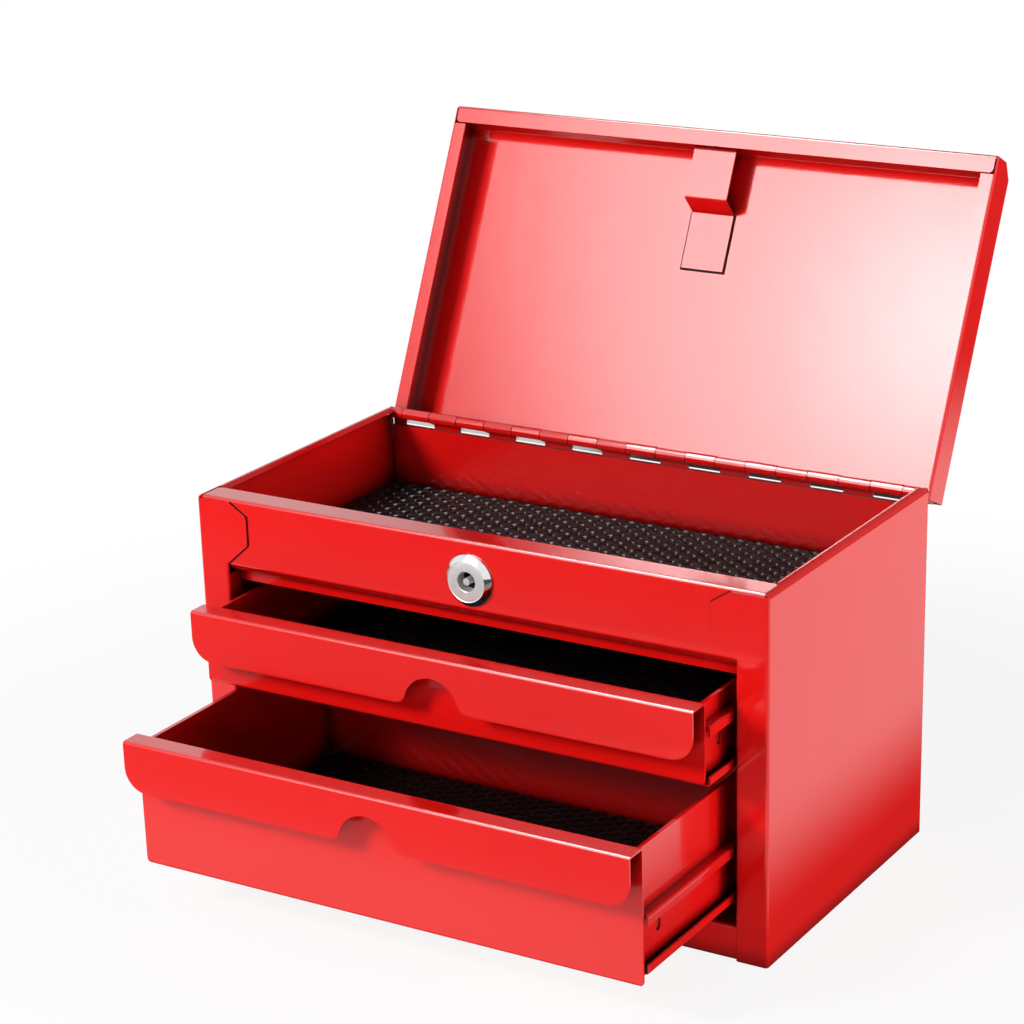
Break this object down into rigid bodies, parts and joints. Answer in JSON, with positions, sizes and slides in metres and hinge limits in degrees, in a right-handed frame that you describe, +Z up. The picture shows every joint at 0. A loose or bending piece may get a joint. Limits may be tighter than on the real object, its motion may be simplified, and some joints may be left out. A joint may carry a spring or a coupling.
{
  "type": "tool chest",
  "caption": "Small red sheet-steel tool chest: lid on a piano hinge over a lined tray, drawers on lipped runners with folded pull flaps, and a tubular cam lock in the front rail.",
  "frame": {"origin": "middle of the underside, on the surface that the chest stands on", "axes": "+X to the right seen from the front, -Y out of the front, +Z up; the lid's hinge and the widths run along X, the drawers slide along Y"},
  "size_m": [0.32, 0.3621, 0.3377],
  "materials": {
    "red_paint": "glossy red enamel on sheet steel",
    "liner": "black open-weave foam non-slip liner",
    "lock_chrome": "bright chrome plate",
    "zinc_steel": "zinc-plated steel",
    "pin_steel": "plain steel wire"
  },
  "bodies": {
    "cabinet": {"side_panel_right": "red_paint", "side_panel_left": "red_paint", "back_panel": "red_paint", "base_pan": "red_paint", "front_rail": "red_paint", "tray_floor": "red_paint", "tray_liner": "liner", "hinge_leaf_body": "red_paint", "hinge_pin": "pin_steel", "lock_housing": "lock_chrome", "lock_nut": "zinc_steel", "upper_rail_right": "red_paint", "upper_rail_left": "red_paint", "lower_rail_right": "red_paint", "lower_rail_left": "red_paint"},
    "lid": {"lid_shell": "red_paint", "lid_catch": "red_paint", "hinge_leaf_lid": "red_paint"},
    "upper_drawer": {"upper_drawer_front": "red_paint", "upper_drawer_pan": "red_paint", "upper_drawer_liner": "liner", "upper_runner_right": "red_paint", "upper_runner_left": "red_paint"},
    "lower_drawer": {"lower_drawer_front": "red_paint", "lower_drawer_pan": "red_paint", "lower_drawer_liner": "liner", "lower_runner_right": "red_paint", "lower_runner_left": "red_paint"},
    "lock_barrel": {"lock_plug": "lock_chrome", "lock_stop_washer": "zinc_steel", "lock_cam": "zinc_steel", "lock_cam_screw": "zinc_steel"}
  },
  "joints": [
    {"name": "lid_hinge", "type": "hinge", "parent": "cabinet", "child": "lid", "pos_m": [0, 0.085, 0.1845], "axis": [-1, 0, 0], "range_deg": [-116, 0]},
    {"name": "upper_drawer_slide", "type": "slide", "parent": "cabinet", "child": "upper_drawer", "axis": [0, -1, 0], "range_m": [-0.0365, 0.0785]},
    {"name": "lower_drawer_slide", "type": "slide", "parent": "cabinet", "child": "lower_drawer", "axis": [0, -1, 0], "range_m": [-0.0955, 0.0195]},
    {"name": "lock_turn", "type": "hinge", "parent": "cabinet", "child": "lock_barrel", "pos_m": [0, -0.087, 0.1683], "axis": [0, -1, 0], "range_deg": [0, 90]}
  ]
}
